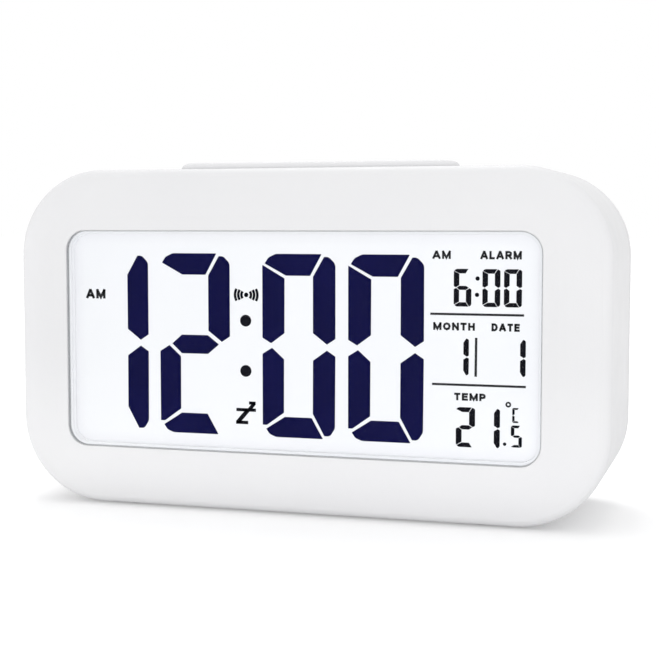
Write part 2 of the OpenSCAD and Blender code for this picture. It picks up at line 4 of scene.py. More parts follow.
import bmesh
import bpy
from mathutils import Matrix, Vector


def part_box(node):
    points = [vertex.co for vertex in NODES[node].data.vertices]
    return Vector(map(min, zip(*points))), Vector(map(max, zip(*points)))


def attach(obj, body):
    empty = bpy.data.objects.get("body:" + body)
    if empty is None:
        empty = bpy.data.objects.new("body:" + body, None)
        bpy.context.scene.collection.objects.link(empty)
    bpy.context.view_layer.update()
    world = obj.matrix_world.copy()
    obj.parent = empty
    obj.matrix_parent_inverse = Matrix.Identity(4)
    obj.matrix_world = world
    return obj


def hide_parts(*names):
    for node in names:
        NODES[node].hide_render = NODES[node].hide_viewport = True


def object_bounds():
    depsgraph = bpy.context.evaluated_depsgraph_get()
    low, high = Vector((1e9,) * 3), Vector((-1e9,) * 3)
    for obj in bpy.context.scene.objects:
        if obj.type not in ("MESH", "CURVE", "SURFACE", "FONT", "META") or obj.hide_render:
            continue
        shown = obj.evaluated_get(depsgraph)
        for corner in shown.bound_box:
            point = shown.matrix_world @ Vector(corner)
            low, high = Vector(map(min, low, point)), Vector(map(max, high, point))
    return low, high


MM = 0.001

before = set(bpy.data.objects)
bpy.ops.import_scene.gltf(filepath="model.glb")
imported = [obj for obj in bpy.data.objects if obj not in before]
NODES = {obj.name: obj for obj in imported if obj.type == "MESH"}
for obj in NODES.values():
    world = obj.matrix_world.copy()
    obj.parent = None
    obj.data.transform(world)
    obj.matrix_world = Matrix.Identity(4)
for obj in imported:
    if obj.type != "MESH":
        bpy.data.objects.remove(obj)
CAD_LO, CAD_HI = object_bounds()

LENS_LO, LENS_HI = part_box("lens")
LENS_CORNER = 4.4  # radius of the window's corners, mm
MID_X = (LENS_LO.x + LENS_HI.x) / 2
MID_Z = (LENS_LO.z + LENS_HI.z) / 2
GASKET_LO, GASKET_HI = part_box("lcd_gasket")
FILM_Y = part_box("front_polarizer")[0].y
CELLS = (("battery_1", 1), ("battery_2", -1), ("battery_3", 1))  # name and side of the plus end

# ---------------------------------------------------------------- node helpers


class Shader:
    """A material's node tree with short calls for the nodes used here."""

    def __init__(self, name):
        self.mat = bpy.data.materials.new(name)
        self.mat.use_nodes = True
        self.tree = self.mat.node_tree
        self.tree.nodes.clear()
        self.out = self.node("ShaderNodeOutputMaterial")
        self.bsdf = self.node("ShaderNodeBsdfPrincipled")
        self.link(self.bsdf.outputs[0], self.out.inputs[0])
        self.coord = self.node("ShaderNodeTexCoord").outputs["Object"]

    @classmethod
    def of(cls, mat):
        """Opens a finished material to add to it."""
        s = cls.__new__(cls)
        s.mat = mat
        s.tree = mat.node_tree
        s.bsdf = next(n for n in s.tree.nodes if n.type == "BSDF_PRINCIPLED")
        s.coord = s.node("ShaderNodeTexCoord").outputs["Object"]
        return s

    def node(self, kind, **props):
        n = self.tree.nodes.new(kind)
        for k, v in props.items():
            setattr(n, k, v)
        return n

    def link(self, a, b):
        self.tree.links.new(a, b)

    def put(self, socket, value):
        """Links a socket, or sets a plain value."""
        if isinstance(value, bpy.types.NodeSocket):
            self.link(value, socket)
        else:
            socket.default_value = value

    def set(self, **values):
        """Sets or links the Principled shader's sockets by their names."""
        for k, v in values.items():
            self.put(self.bsdf.inputs[k.replace("_", " ")], v)

    def noise(self, scale, detail=2.0, rough=0.5, stretch=None):
        """Noise in object space, in cells per metre; stretch scales each axis."""
        n = self.node("ShaderNodeTexNoise")
        src = self.coord
        if stretch:
            m = self.node("ShaderNodeMapping")
            m.inputs["Scale"].default_value = stretch
            self.link(src, m.inputs["Vector"])
            src = m.outputs[0]
        self.link(src, n.inputs["Vector"])
        n.inputs["Scale"].default_value = scale
        n.inputs["Detail"].default_value = detail
        n.inputs["Roughness"].default_value = rough
        return n.outputs["Fac"]

    def span(self, fac, lo, hi, a=0.0, b=1.0):
        """Maps fac from lo..hi to a..b."""
        n = self.node("ShaderNodeMapRange")
        for socket, value in zip(n.inputs[:5], (fac, lo, hi, a, b)):
            self.put(socket, value)
        return n.outputs[0]

    def math(self, op, a, b=0.0):
        n = self.node("ShaderNodeMath", operation=op)
        self.put(n.inputs[0], a)
        self.put(n.inputs[1], b)
        return n.outputs[0]

    def between(self, value, lo, hi):
        """1 where lo < value < hi, 0 elsewhere."""
        return self.math("MULTIPLY", self.math("GREATER_THAN", value, lo),
                         self.math("LESS_THAN", value, hi))

    def mix(self, fac, a, b):
        n = self.node("ShaderNodeMix", data_type="RGBA")
        self.put(n.inputs[0], fac)
        self.put(n.inputs[6], (*a, 1.0) if isinstance(a, tuple) else a)
        self.put(n.inputs[7], (*b, 1.0) if isinstance(b, tuple) else b)
        return n.outputs[2]

    def axes(self):
        n = self.node("ShaderNodeSeparateXYZ")
        self.link(self.coord, n.inputs[0])
        return n.outputs

    def bump(self, height, distance, strength=1.0, under=None):
        """Adds a bump to the Principled shader, on top of the normal in under."""
        n = self.node("ShaderNodeBump")
        n.inputs["Strength"].default_value = strength
        n.inputs["Distance"].default_value = distance
        self.link(height, n.inputs["Height"])
        if under is not None:
            self.link(under, n.inputs["Normal"])
        self.link(n.outputs[0], self.bsdf.inputs["Normal"])
        return n.outputs[0]

    def box_mask(self, axes, centre, half):
        """1 inside a box of object space, 0 outside."""
        total = None
        for a, c, h in zip(axes, centre, half):
            inside = self.math("LESS_THAN", self.math("ABSOLUTE", self.math("SUBTRACT", a, c)), h)
            total = inside if total is None else self.math("MULTIPLY", total, inside)
        return total

    def window_distance(self):
        """Distance in mm outwards from the rounded outline of the window, in the window's plane."""
        x, _, z = self.axes()
        out = []
        for a, lo, hi in ((x, LENS_LO.x, LENS_HI.x), (z, LENS_LO.z, LENS_HI.z)):
            off = self.math("ABSOLUTE", self.math("SUBTRACT", a, (lo + hi) / 2))
            off = self.math("SUBTRACT", off, (hi - lo) / 2 - LENS_CORNER * MM)
            out.append(self.math("DIVIDE", off, MM))
        beyond = [self.math("POWER", self.math("MAXIMUM", o, 0.0), 2.0) for o in out]
        corner = self.math("SQRT", self.math("ADD", *beyond))
        inner = self.math("MINIMUM", self.math("MAXIMUM", *out), 0.0)
        return self.math("SUBTRACT", self.math("ADD", corner, inner), LENS_CORNER)


# ---------------------------------------------------------------- kinds of material


def moulded(name, colour, shade, rough=0.42, grain=0.03, spec=0.5, soft=0.0):
    """Injection-moulded plastic: spark-eroded grain, faint flow clouds, uneven gloss, soft edges."""
    s = Shader(name)
    cloud = s.noise(26.0, 3.0, 0.55)
    fleck = s.noise(900.0, 2.0, 0.6)
    tone = s.mix(s.span(cloud, 0.3, 0.7), colour, shade)
    s.set(Base_Color=s.mix(s.span(fleck, 0.62, 0.8, 0.0, 0.06), tone, (0.45, 0.45, 0.46)))
    s.set(Roughness=s.span(s.noise(160.0, 4.0, 0.6), 0.3, 0.7, rough - 0.05, rough + 0.06))
    s.set(Specular_IOR_Level=spec)
    edges = None
    if soft:
        edge = s.node("ShaderNodeBevel", samples=6)
        edge.inputs["Radius"].default_value = soft * MM
        edges = edge.outputs[0]
    coarse = s.bump(s.noise(2600.0, 2.0, 0.55), grain * MM, 0.6, under=edges)
    s.bump(s.noise(420.0, 2.0, 0.5), 0.02 * MM, 0.35, under=coarse)
    return s.mat


def rubber(name, colour):
    """Matt rubber or foam, paler in patches."""
    s = Shader(name)
    pale = tuple(min(1.0, c * 1.5 + 0.01) for c in colour)
    s.set(Base_Color=s.mix(s.span(s.noise(300.0, 3.0), 0.35, 0.7), colour, pale))
    s.set(Roughness=s.span(s.noise(700.0, 3.0), 0.3, 0.7, 0.72, 0.9))
    s.bump(s.noise(1800.0, 3.0, 0.7), 0.05 * MM, 0.7)
    return s.mat


def metal(name, colour, rough=0.28, stretch=(1.0, 1.0, 30.0)):
    """Plated sheet or wire with fine drawing lines and dull spots."""
    s = Shader(name)
    lines = s.noise(700.0, 3.0, 0.6, stretch=stretch)
    spots = s.noise(240.0, 4.0, 0.65)
    s.set(Base_Color=s.mix(s.span(spots, 0.4, 0.75), colour, tuple(c * 0.78 for c in colour)))
    s.set(Metallic=1.0)
    s.set(Roughness=s.span(spots, 0.3, 0.75, rough, rough + 0.2))
    s.bump(lines, 0.01 * MM, 0.5)
    return s.mat


def lacquer(name, colour, deep):
    """Circuit board lacquer with the shadow of copper pours under it."""
    s = Shader(name)
    cells = s.node("ShaderNodeTexVoronoi", feature="DISTANCE_TO_EDGE")
    s.link(s.coord, cells.inputs["Vector"])
    cells.inputs["Scale"].default_value = 330.0
    tracks = s.span(cells.outputs["Distance"], 0.04, 0.09)
    s.set(Base_Color=s.mix(tracks, deep, colour))
    s.set(Roughness=s.span(s.noise(500.0, 2.0), 0.3, 0.7, 0.22, 0.34))
    s.bump(tracks, 0.03 * MM, 0.6)
    return s.mat


def ink(name, colour, shade):
    """A driven segment or a printed mark of the display, with faint unevenness."""
    s = Shader(name)
    s.set(Base_Color=s.mix(s.span(s.noise(60.0, 2.0), 0.3, 0.7), colour, shade))
    s.set(Roughness=s.span(s.noise(500.0), 0.3, 0.7, 0.5, 0.6), Specular_IOR_Level=0.05)
    return s.mat


# ---------------------------------------------------------------- single materials


def case_material():
    """The case's white. The ledge behind the window has a painted glow that lifts the shade of its
    recess, and the fine gap round the window is painted grey as shade."""
    mat = moulded("case_white", (0.605, 0.605, 0.612), (0.59, 0.59, 0.60),
                  rough=0.5, spec=0.15, soft=0.3)
    s = Shader.of(mat)
    away = s.window_distance()
    y = s.axes()[1]
    slack = 0.05  # mm, kept inside the window's outline and in front of its back
    reach = 0.3   # mm, from the window's outline across the gap
    # painted light: the case's ledge behind the window glows, more so deeper in, to lift its shade
    behind = s.between(y, LENS_HI.y - slack * MM, GASKET_HI.y)
    painted_glow_mask = s.math("MULTIPLY", s.math("LESS_THAN", away, -slack), behind)
    glow = s.span(y, LENS_HI.y, GASKET_LO.y, 0.18, 0.3)
    s.set(Emission_Color=(0.97, 0.98, 1.0, 1.0), Emission_Strength=s.math("MULTIPLY", painted_glow_mask, glow))
    # painted shade: the fine gap round the window is darkened to grey
    painted_gap_shade = s.math("MULTIPLY", s.between(away, -slack, reach), s.between(y, LENS_LO.y, GASKET_HI.y))
    tone = s.bsdf.inputs["Base Color"].links[0].from_socket
    s.set(Base_Color=s.mix(painted_gap_shade, tone, (0.58, 0.58, 0.585)))
    return mat


def window_material():
    """Clear acrylic: light passes straight through, with painted shade that greys it at the cut edges,
    and a gloss that grows to the grazing side."""
    s = Shader("window_clear")
    s.set(Base_Color=(1.0, 1.0, 1.0, 1.0), Metallic=1.0)
    s.set(Roughness=s.span(s.noise(45.0, 3.0), 0.3, 0.7, 0.02, 0.05))
    clear = s.node("ShaderNodeBsdfTransparent")
    tint = s.mix(s.span(s.noise(18.0, 2.0), 0.3, 0.7), (0.992, 0.996, 1.0), (0.985, 0.99, 0.997))
    # painted shade: the light through the pane's cut edges is tinted grey
    edge = s.math("GREATER_THAN", s.window_distance(), -0.03)
    s.link(s.mix(edge, tint, (0.72, 0.73, 0.74)), clear.inputs[0])
    facing = s.node("ShaderNodeLayerWeight").outputs["Facing"]
    gloss = s.span(s.math("POWER", facing, 5.0), 0.0, 1.0, 0.001, 0.3)
    both = s.node("ShaderNodeMixShader")
    s.link(gloss, both.inputs[0])
    s.link(clear.outputs[0], both.inputs[1])
    s.link(s.bsdf.outputs[0], both.inputs[2])
    s.link(both.outputs[0], s.out.inputs[0])
    return s.mat


def display_material():
    """The lit ground of the display: bright in the middle, with painted shade that greys it to the
    edges.
    """
    s = Shader("display_ground")
    # painted shade: colour and glow turn greyer near the window's rim
    glow = s.span(s.window_distance(), -3.0, -0.4, 1.0, 0.0)
    cloud = s.noise(30.0, 2.0, 0.5)
    inner = s.mix(s.span(cloud, 0.3, 0.7), (0.377, 0.379, 0.385), (0.367, 0.369, 0.375))
    s.set(Base_Color=s.mix(glow, (0.36, 0.36, 0.37), inner))
    s.set(Roughness=s.span(s.noise(900.0), 0.3, 0.7, 0.42, 0.5))
    s.set(Emission_Color=s.mix(glow, (0.915, 0.915, 0.935), (0.97, 0.972, 0.985)),
          Emission_Strength=0.45)
    s.bump(s.noise(2500.0), 0.004 * MM, 0.4)
    return s.mat


def cell_material(name, lo, hi, plus):
    """Printed jacket of a dry cell: dull green body, grey band at the plus end, steel ends, signs.
    lo and hi are the cell's corners, and plus is the side of its plus end along x."""
    s = Shader(name)
    x, _, z = s.axes()
    length = hi.x - lo.x
    along = s.math("DIVIDE", s.math("SUBTRACT", x, lo.x), length)
    if plus < 0:
        along = s.math("SUBTRACT", 1.0, along)
    band = s.math("GREATER_THAN", along, 0.74)
    line = s.between(along, 0.73, 0.74)
    steel = s.math("MAXIMUM", s.math("GREATER_THAN", along, 0.952), s.math("LESS_THAN", along, 0.016))
    mid_z = (lo.z + hi.z) / 2
    plus_x = lo.x + length * (0.83 if plus > 0 else 0.17)
    minus_x = lo.x + length * (0.10 if plus > 0 else 0.90)
    bar = s.box_mask((x, z), (plus_x, mid_z), (1.5 * MM, 0.35 * MM))
    post = s.box_mask((x, z), (plus_x, mid_z), (0.35 * MM, 1.5 * MM))
    minus = s.box_mask((x, z), (minus_x, mid_z), (1.2 * MM, 0.35 * MM))
    signs = s.math("MAXIMUM", s.math("MAXIMUM", bar, post), minus)
    scuff = s.span(s.noise(420.0, 4.0, 0.7), 0.58, 0.75, 0.0, 0.25)
    tone = s.mix(scuff, (0.035, 0.135, 0.085), (0.10, 0.17, 0.14))
    tone = s.mix(band, tone, (0.30, 0.31, 0.31))
    tone = s.mix(line, tone, (0.75, 0.74, 0.72))
    tone = s.mix(signs, tone, (0.85, 0.85, 0.85))
    s.set(Base_Color=s.mix(steel, tone, (0.68, 0.68, 0.70)))
    s.set(Metallic=steel)
    s.set(Roughness=s.span(s.noise(300.0, 3.0), 0.3, 0.7, 0.24, 0.36))
    s.bump(s.noise(900.0, 2.0), 0.01 * MM, 0.4)
    return s.mat


WHITE = case_material()
KEY = moulded("key_grey", (0.47, 0.475, 0.49), (0.45, 0.455, 0.47), rough=0.36, grain=0.015, soft=0.3)
DARK = moulded("dark_plastic", (0.045, 0.045, 0.05), (0.03, 0.03, 0.034), rough=0.45)
CREAM = moulded("switch_white", (0.70, 0.69, 0.66), (0.66, 0.65, 0.61), rough=0.3, grain=0.01)
FOOT = rubber("foot_rubber", (0.10, 0.10, 0.105))
FOAM = rubber("foam_black", (0.02, 0.02, 0.02))
PALE_FOAM = rubber("foam_white", (0.74, 0.74, 0.74))
STEEL = metal("plated_steel", (0.66, 0.66, 0.68))
NICKEL = metal("nickel", (0.74, 0.73, 0.70), 0.2, (1.0, 30.0, 1.0))
BRASS = metal("piezo_brass", (0.80, 0.58, 0.25), 0.3, (25.0, 1.0, 1.0))
BOARD = lacquer("board_lacquer", (0.03, 0.20, 0.09), (0.02, 0.11, 0.05))
RED = moulded("wire_red", (0.52, 0.03, 0.03), (0.45, 0.02, 0.02), rough=0.35, grain=0.005)
BLACK = moulded("wire_black", (0.02, 0.02, 0.02), (0.03, 0.03, 0.03), rough=0.35, grain=0.005)
RIBBON = moulded("ribbon_grey", (0.42, 0.42, 0.44), (0.36, 0.36, 0.38), rough=0.4, grain=0.005)
FILM = moulded("polarizer_grey", (0.20, 0.21, 0.21), (0.18, 0.19, 0.19), rough=0.2, grain=0.002)
RESIN = moulded("resin_black", (0.012, 0.012, 0.013), (0.02, 0.02, 0.021), rough=0.25, grain=0.02)
WINDOW = window_material()
DISPLAY = display_material()
NAVY_INK = ink("navy_ink", (0.0010, 0.0012, 0.032), (0.0016, 0.0018, 0.040))
BLACK_INK = ink("black_ink", (0.0020, 0.0020, 0.0045), (0.0035, 0.0035, 0.0065))
PRINT_INK = ink("print_ink", (0.022, 0.022, 0.024), (0.030, 0.030, 0.033))

# which nodes have which material
DRESS = {
    WHITE: ["front_case", "rear_case", "snooze_bar", "battery_door", "lcd_tray", "reflector_sheet"],
    KEY: ["mode_key", "set_key", "up_key", "down_key", "alarm_slide"],
    DARK: ["key_switches", "snooze_switch", "capacitors", "buzzer_case", "thermistor"],
    CREAM: ["mode_stem", "set_stem", "up_stem", "down_stem", "snooze_plunger", "backlight_leds"],
    FOOT: ["feet"],
    PALE_FOAM: ["lcd_gasket"],
    FOAM: ["zebra_strip"],
    STEEL: ["case_screws", "tray_screws", "board_screws", "key_board_screws", "slide_switch",
            "crystal_can"],
    NICKEL: ["battery_springs", "contact_links", "contact_ends"],
    BRASS: ["piezo_disc"],
    BOARD: ["main_board", "key_board"],
    RED: ["battery_leads"],
    BLACK: ["buzzer_leads"],
    RIBBON: ["key_ribbon"],
    RESIN: ["chip_blob"],
    WINDOW: ["lens", "lcd_glass_front", "lcd_glass_rear", "light_guide"],
    FILM: ["rear_polarizer"],
    DISPLAY: ["front_polarizer"],
}


def dress(obj, mat):
    """Gives an object one material all over."""
    obj.data.materials.clear()
    obj.data.materials.append(mat)
    for p in obj.data.polygons:
        p.material_index = 0


for mat, names in DRESS.items():
    for name in names:
        dress(NODES[name], mat)
for name, plus in CELLS:
    dress(NODES[name], cell_material(name + "_jacket", *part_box(name), plus))

# ---------------------------------------------------------------- outlines, in mm


def rounded(points, radius):
    """Corner-rounded outline. A point may carry its own radius as a third number."""
    out = []
    n = len(points)
    for i, p in enumerate(points):
        r = p[2] if len(p) > 2 else radius
        a = Vector(points[i - 1][:2]) - Vector(p[:2])
        b = Vector(points[(i + 1) % n][:2]) - Vector(p[:2])
        la, lb = a.length, b.length
        a, b = a / la, b / lb
        half = math.acos(max(-1.0, min(1.0, a.dot(b)))) / 2
        cut = min(r / math.tan(half), 0.48 * la, 0.48 * lb)
        if cut < 1e-4:
            out.append(tuple(p[:2]))
            continue
        r = cut * math.tan(half)
        start, stop = Vector(p[:2]) + a * cut, Vector(p[:2]) + b * cut
        centre = Vector(p[:2]) + (a + b).normalized() * (r / math.sin(half))
        steps = 6 if r > 0.8 else 3
        v0, v1 = start - centre, stop - centre
        turn = v0.angle_signed(v1)
        for k in range(steps + 1):
            t = turn * k / steps
            c, s = math.cos(t), -math.sin(t)
            out.append((centre.x + v0.x * c - v0.y * s, centre.y + v0.x * s + v0.y * c))
    return out


def disc(x, v, r, n=28):
    """Outline of a round dot."""
    return [(x + r * math.cos(2 * math.pi * k / n), v + r * math.sin(2 * math.pi * k / n))
            for k in range(n)]


def arc(x, v, r, a0, a1, n=8):
    """Points along an arc from a0 to a1 degrees."""
    return [(x + r * math.cos(math.radians(a0 + (a1 - a0) * k / n)),
             v + r * math.sin(math.radians(a0 + (a1 - a0) * k / n))) for k in range(n + 1)]


def stroke(points, width):
    """Outline of a line of even width with square ends through points."""
    left, right = [], []
    for i, p in enumerate(points):
        a = Vector(points[max(i - 1, 0)])
        b = Vector(points[min(i + 1, len(points) - 1)])
        d = (b - a).normalized()
        k = width / 2
        if 0 < i < len(points) - 1:
            d1 = (Vector(p) - a).normalized()
            k /= max(0.35, d.dot(d1))
        n = Vector((-d.y, d.x))
        left.append(tuple(Vector(p) + n * k))
        right.append(tuple(Vector(p) - n * k))
    return left + right[::-1]


def ring(x, v, r, width, n=32):
    """A flat ring as two half rings, so that each outline stays simple."""
    return [stroke(arc(x, v, r, 0, 180, n // 2), width), stroke(arc(x, v, r, 180, 360, n // 2), width)]


def rounded_box(half_w, half_h, r, n=20):
    """Outline of a rectangle with round corners, about its middle."""
    out = []
    for sx, sv, start in ((1, 1, 0), (-1, 1, 90), (-1, -1, 180), (1, -1, 270)):
        out += arc(sx * (half_w - r), sv * (half_h - r), r, start, start + 90, n)
    return out


def extend(pts, by):
    """Lengthens both ends of a line a little, so that strokes meet square."""
    a = (Vector(pts[0]) - Vector(pts[1])).normalized() * by
    b = (Vector(pts[-1]) - Vector(pts[-2])).normalized() * by
    return [tuple(Vector(pts[0]) + a)] + pts[1:-1] + [tuple(Vector(pts[-1]) + b)]


def slab(name, outlines, place, depth, mat):
    """Thin prisms from flat outlines, on the clock's fixed body. place maps (x, v, out) in mm to
    metres in the clock's frame."""
    bm = bmesh.new()
    for outline in outlines:
        low = [bm.verts.new(place(x, v, 0.0)) for x, v in outline]
        top = [bm.verts.new(place(x, v, depth)) for x, v in outline]
        bm.faces.new(low)
        bm.faces.new(top)
        for i in range(len(low)):
            j = (i + 1) % len(low)
            bm.faces.new((low[i], low[j], top[j], top[i]))
    bmesh.ops.recalc_face_normals(bm, faces=bm.faces)
    mesh = bpy.data.meshes.new(name)
    bm.to_mesh(mesh)
    bm.free()
    obj = bpy.data.objects.new(name, mesh)
    bpy.context.collection.objects.link(obj)
    mesh.materials.append(mat)
    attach(obj, "clock")
    return obj


# ---------------------------------------------------------------- window pane

GLUE = 0.04  # the pane stops this far short of the ledge it is glued to, mm
PANE_W = (LENS_HI.x - LENS_LO.x) / MM
PANE_H = (LENS_HI.z - LENS_LO.z) / MM
PANE_T = (LENS_HI.y - LENS_LO.y) / MM - GLUE


def on_pane(x, v, out):
    """A point of the pane, mm from the middle of its front."""
    return (MID_X + x * MM, LENS_LO.y + out * MM, MID_Z + v * MM)


pane = slab("window_pane", [rounded_box(PANE_W / 2, PANE_H / 2, LENS_CORNER)], on_pane, PANE_T, WINDOW)
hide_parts("lens")

# ---------------------------------------------------------------- display picture

PICTURE_SHIFT = (0.51, 0.28)     # the picture's middle from the window's, mm
PICTURE_SCALE = (0.9976, 0.996)
FILM_GAP = 0.01                  # from the display film to the figures, mm
FIGURE_T = 0.04                  # thickness of the figures, mm


def on_display(x, v, out):
    """A point of the display picture, mm from its middle."""
    return (MID_X + (PICTURE_SHIFT[0] + PICTURE_SCALE[0] * x) * MM, FILM_Y - (FILM_GAP + out) * MM,
            MID_Z + (PICTURE_SHIFT[1] + PICTURE_SCALE[1] * v) * MM)


def show(name, outlines, mat):
    """A piece of the display picture."""
    return slab(name, outlines, on_display, FIGURE_T, mat)


BIG_W, BIG_H = 16.6, 40.0

# The segments of one big figure, mm from its middle. A third number is a corner's own radius.
SEGMENTS = {
    "a": [(-7.75, 17.9, 0.1), (-6.9, 19.2, 1.2), (-5.2, 20.0, 2.0), (5.2, 20.0, 0.1),
          (2.6, 15.3, 0.15), (-2.9, 15.3, 0.2)],
    "b": [(5.75, 19.4, 0.15), (6.8, 19.4, 1.4), (8.3, 17.9, 1.6), (8.3, 1.8, 0.2), (6.4, 0.55, 0.1),
          (3.25, 2.95, 0.15), (3.25, 15.1, 0.15)],
    "c": [(6.4, -0.75, 0.1), (8.3, -2.0, 0.2), (8.2, -17.6, 1.6), (7.1, -19.35, 1.0),
          (5.8, -19.35, 0.2), (3.2, -14.6, 0.15), (3.25, -3.0, 0.15)],
    "d": [(-7.5, -18.25, 0.1), (-6.7, -19.4, 1.2), (-5.2, -20.0, 2.0), (5.5, -20.0, 0.1),
          (2.9, -15.5, 0.15), (-3.2, -15.5, 0.2)],
    "e": [(-6.1, -0.45, 0.1), (-3.35, -2.9, 0.15), (-3.4, -14.6, 0.15), (-7.3, -17.4, 0.15),
          (-8.3, -17.4, 0.1), (-8.3, -1.8, 0.2)],
    "f": [(-8.3, 17.6, 0.1), (-3.2, 14.7, 0.15), (-3.25, 2.8, 0.15), (-6.3, 0.55, 0.1),
          (-8.3, 1.7, 0.2)],
    "g": [(-5.4, -0.05, 0.1), (-3.1, 1.95, 0.15), (3.1, 1.95, 0.15), (5.7, -0.05, 0.1),
          (3.1, -2.2, 0.15), (-3.1, -2.2, 0.15)],
}
CORNER = 0.3  # radius of a corner without its own, mm
FIGURES = {"0": "abcdef", "1": "bc", "2": "abged", "5": "afgcd", "6": "afgcde", "C": "afed"}


def figure(char, x, v, width, height, grow=1.0):
    """Outlines of one figure centred at x, v, scaled to a width and height. Grow thickens it."""
    kx, kv = width / BIG_W, height / BIG_H
    parts = []
    for s in FIGURES[char]:
        points = rounded(SEGMENTS[s], CORNER)
        cx = sum(p[0] for p in points) / len(points)
        cv = sum(p[1] for p in points) / len(points)
        parts.append([(x + (cx + (px - cx) * grow) * kx, v + (cv + (pv - cv) * grow) * kv)
                      for px, pv in points])
    return parts


def figures(row, v, width, height, grow=1.0):
    """Outlines of a row of figures at one height; row holds a character and its place along x."""
    parts = []
    for char, x in row:
        parts += figure(char, x, v, width, height, grow)
    return parts


COLON_X = -12.2
show("time_figures", figures((("1", -43.65), ("2", -24.2), ("0", 0.0), ("0", 19.45)),
                             -1.05, BIG_W, BIG_H), NAVY_INK)
show("time_colon", [disc(COLON_X, 4.3, 1.3), disc(COLON_X, -6.75, 1.3)], BLACK_INK)

SMALL_W, SMALL_H = 3.72, 7.85
TEMP_W, TEMP_H = 4.05, 8.4
SMALL_GROW = 1.02
small = figures((("6", 35.95), ("0", 42.0), ("0", 46.5)), 12.15, SMALL_W, SMALL_H, SMALL_GROW)
small += figures((("1", 35.5), ("1", 47.4)), -2.3, SMALL_W, SMALL_H, SMALL_GROW)
small += figures((("2", 36.75), ("1", 42.0)), -17.1, TEMP_W, TEMP_H, SMALL_GROW)
small += figure("C", 47.4, -14.2, 1.6, 3.1, SMALL_GROW)
small += figure("5", 47.5, -18.6, 2.3, 4.6, SMALL_GROW)
small += [disc(39.1, 14.1, 0.45), disc(39.0, 10.7, 0.45), disc(45.05, -20.3, 0.36)]
show("small_figures", small, BLACK_INK)

RULE = 0.48
show("display_rules", [stroke([(29.1, 6.6), (48.85, 6.6)], RULE),
                       stroke([(29.55, -8.2), (49.35, -8.2)], RULE),
                       stroke([(38.9, 1.75), (38.85, -6.4)], 0.52),
                       stroke(arc(45.75, -12.0, 0.42, 0, 360, 24), 0.36)], PRINT_INK)

SIGN_X, SIGN_V = -12.05, 9.95
waves = [disc(SIGN_X, SIGN_V, 0.5)]
for r, spread in ((1.12, 42), (1.85, 36), (2.6, 30)):
    for side in (0, 180):
        waves.append(stroke(arc(SIGN_X, SIGN_V, r, side - spread, side + spread), 0.58))
show("alarm_sign", waves, BLACK_INK)

# two slanted z shapes, each line with its own width
show("sleep_sign", [stroke([(-14.45, -15.35), (-9.9, -15.35)], 0.72),
                    stroke([(-11.7, -15.35), (-14.2, -18.2)], 0.95),
                    stroke([(-14.55, -18.15), (-11.7, -18.15)], 0.74),
                    stroke([(-11.5, -13.8), (-9.95, -13.8)], 0.68),
                    stroke([(-10.2, -13.8), (-11.45, -15.3)], 0.82)], BLACK_INK)

# Capital letters as lines in a unit box, each with the width that the box is stretched to
LETTERS = {
    "A": ([[(0, 0), (0.45, 1)], [(0.55, 1), (1, 0)], [(0.2, 0.27), (0.8, 0.27)]], 0.86),
    "D": ([[(0, 0), (0, 1)], [(0, 1), (0.5, 1), (0.85, 0.85), (1, 0.5), (0.85, 0.15), (0.5, 0),
                              (0, 0)]], 0.78),
    "E": ([[(0, 0), (0, 1)], [(0, 1), (1, 1)], [(0, 0.52), (0.9, 0.52)], [(0, 0), (1, 0)]], 0.68),
    "H": ([[(0, 0), (0, 1)], [(1, 0), (1, 1)], [(0, 0.52), (1, 0.52)]], 0.74),
    "L": ([[(0, 1), (0, 0)], [(0, 0), (1, 0)]], 0.62),
    "M": ([[(0, 0), (0, 1)], [(0, 1), (0.5, 0.05), (1, 1)], [(1, 1), (1, 0)]], 0.92),
    "N": ([[(0, 0), (0, 1)], [(0, 1), (1, 0)], [(1, 0), (1, 1)]], 0.76),
    "O": ([[(0.5, 0), (0.15, 0.13), (0, 0.5), (0.15, 0.87), (0.5, 1), (0.85, 0.87), (1, 0.5),
            (0.85, 0.13), (0.5, 0)]], 0.86),
    "P": ([[(0, 0), (0, 1)], [(0, 1), (0.6, 1), (0.95, 0.88), (1, 0.7), (0.95, 0.52), (0.6, 0.42),
                              (0, 0.42)]], 0.70),
    "R": ([[(0, 0), (0, 1)], [(0, 1), (0.6, 1), (0.92, 0.88), (0.95, 0.72), (0.9, 0.55), (0.6, 0.45),
                              (0, 0.45)], [(0.55, 0.45), (1, 0)]], 0.76),
    "T": ([[(0, 1), (1, 1)], [(0.5, 1), (0.5, 0)]], 0.70),
}
LETTER_GAP = 0.16  # between letters, on the scale of their widths


def legend(name, text, x0, x1, v0, v1, weight=0.455):
    """A plain capital word in lines that fills the box x0..x1, v0..v1 of the display picture."""
    total = sum(LETTERS[c][1] for c in text) + LETTER_GAP * (len(text) - 1)
    unit = (x1 - x0) / total
    x = x0
    outlines = []
    for c in text:
        lines, width = LETTERS[c]
        w = width * unit - weight
        h = v1 - v0 - weight
        for line in lines:
            pts = [(x + weight / 2 + px * w, v0 + weight / 2 + pv * h) for px, pv in line]
            outlines.append(stroke(extend(pts, weight * 0.45), weight))
        x += (width + LETTER_GAP) * unit
    return show(name, outlines, PRINT_INK)


legend("legend_am_time", "AM", -50.65, -45.85, 8.6, 10.75, 0.6)
legend("legend_am_alarm", "AM", 29.5, 33.4, 18.1, 19.85)
legend("legend_alarm", "ALARM", 39.65, 48.25, 18.1, 19.85)
legend("legend_month", "MONTH", 29.75, 38.6, 3.2, 4.85)
legend("legend_date", "DATE", 42.1, 48.0, 3.2, 4.85)
legend("legend_temp", "TEMP", 34.3, 41.0, -11.5, -9.9)

# ---------------------------------------------------------------- marks on the back

